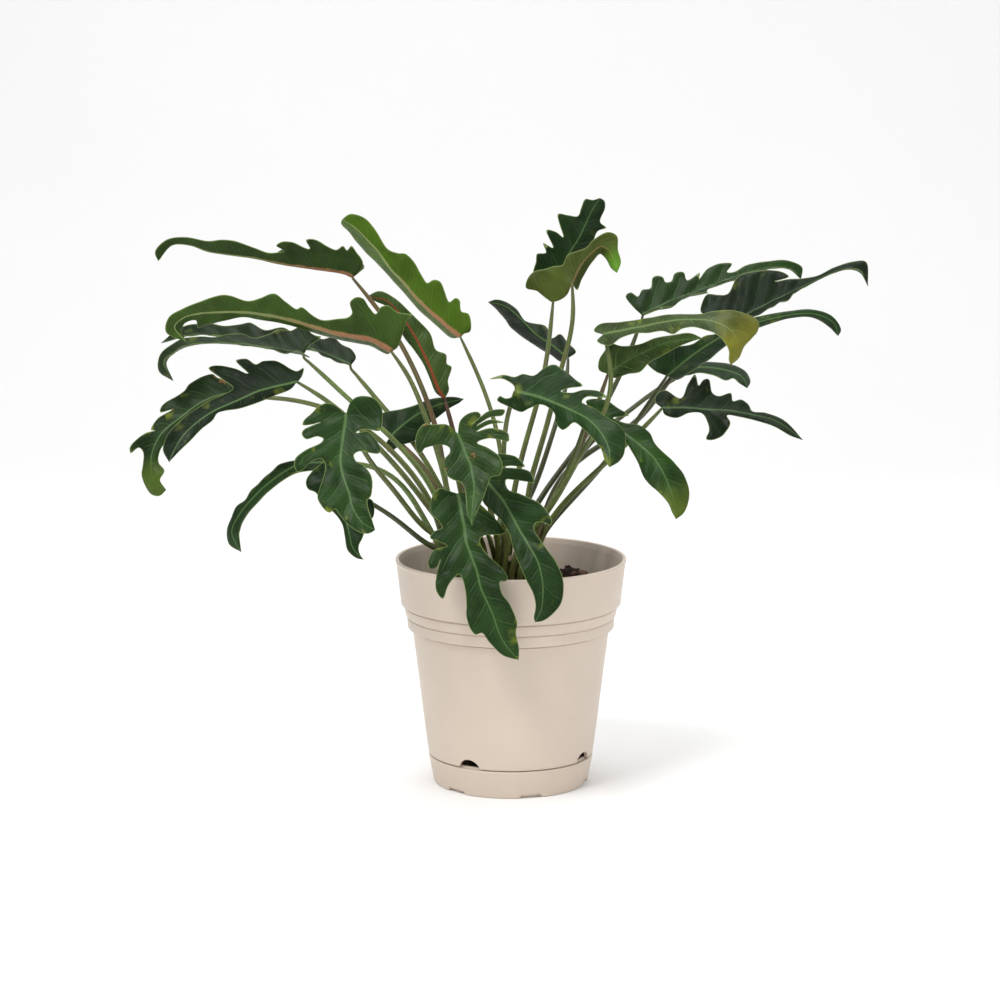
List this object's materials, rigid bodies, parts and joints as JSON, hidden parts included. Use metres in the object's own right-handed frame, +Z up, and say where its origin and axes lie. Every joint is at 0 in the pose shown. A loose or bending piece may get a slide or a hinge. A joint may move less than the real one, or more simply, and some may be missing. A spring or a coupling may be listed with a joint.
{
  "type": "potted philodendron",
  "caption": "Lobed philodendron leaves on long stalks from short stems, in soil, in a ribbed nursery pot on a water saucer.",
  "frame": {"origin": "centre of the saucer's flat underside", "axes": "+Z up, -Y towards the front, +X to the right along the leaves' widest spread"},
  "size_m": [0.6338, 0.3317, 0.5026],
  "materials": {
    "pot": "smooth moulded, slightly satin",
    "saucer": "smooth moulded, slightly satin",
    "soil": "loose potting mix, matt",
    "stem": "rough, ringed",
    "stalk": "smooth, waxy, green to brown",
    "leaf_top": "glossy dark green with pale veins and margin",
    "leaf_under": "satin light green underside"
  },
  "bodies": {
    "root": {"pot": "pot", "saucer": "saucer", "soil": "soil", "stem_1": "stem", "stem_2": "stem", "leaf_a": "leaf_top", "stalk_a": "stalk", "leaf_b": "leaf_top", "stalk_b": "stalk", "leaf_c": "leaf_top", "stalk_c": "stalk", "leaf_d": "leaf_top", "stalk_d": "stalk", "leaf_e": "leaf_top", "stalk_e": "stalk", "leaf_f": "leaf_top", "stalk_f": "stalk", "leaf_g": "leaf_under", "stalk_g": "stalk", "leaf_h": "leaf_top", "stalk_h": "stalk", "leaf_i": "leaf_top", "stalk_i": "stalk", "leaf_j": "leaf_top", "stalk_j": "stalk", "leaf_k": "leaf_top", "stalk_k": "stalk", "leaf_m": "leaf_top", "stalk_m": "stalk", "leaf_n": "leaf_top", "stalk_n": "stalk", "leaf_o": "leaf_top", "stalk_o": "stalk", "leaf_p": "leaf_top", "stalk_p": "stalk", "leaf_q": "leaf_top", "stalk_q": "stalk", "leaf_r": "leaf_under", "stalk_r": "stalk", "leaf_s": "leaf_under", "stalk_s": "stalk", "leaf_t": "leaf_under", "stalk_t": "stalk", "leaf_u": "leaf_top", "stalk_u": "stalk", "leaf_v": "leaf_top", "stalk_v": "stalk", "leaf_w": "leaf_top", "stalk_w": "stalk", "leaf_x": "leaf_top", "stalk_x": "stalk", "leaf_y": "leaf_top", "stalk_y": "stalk", "leaf_z": "leaf_top", "stalk_z": "stalk", "leaf_n2": "leaf_top", "stalk_n2": "stalk", "leaf_t2": "leaf_top", "stalk_t2": "stalk"}
  },
  "joints": []
}
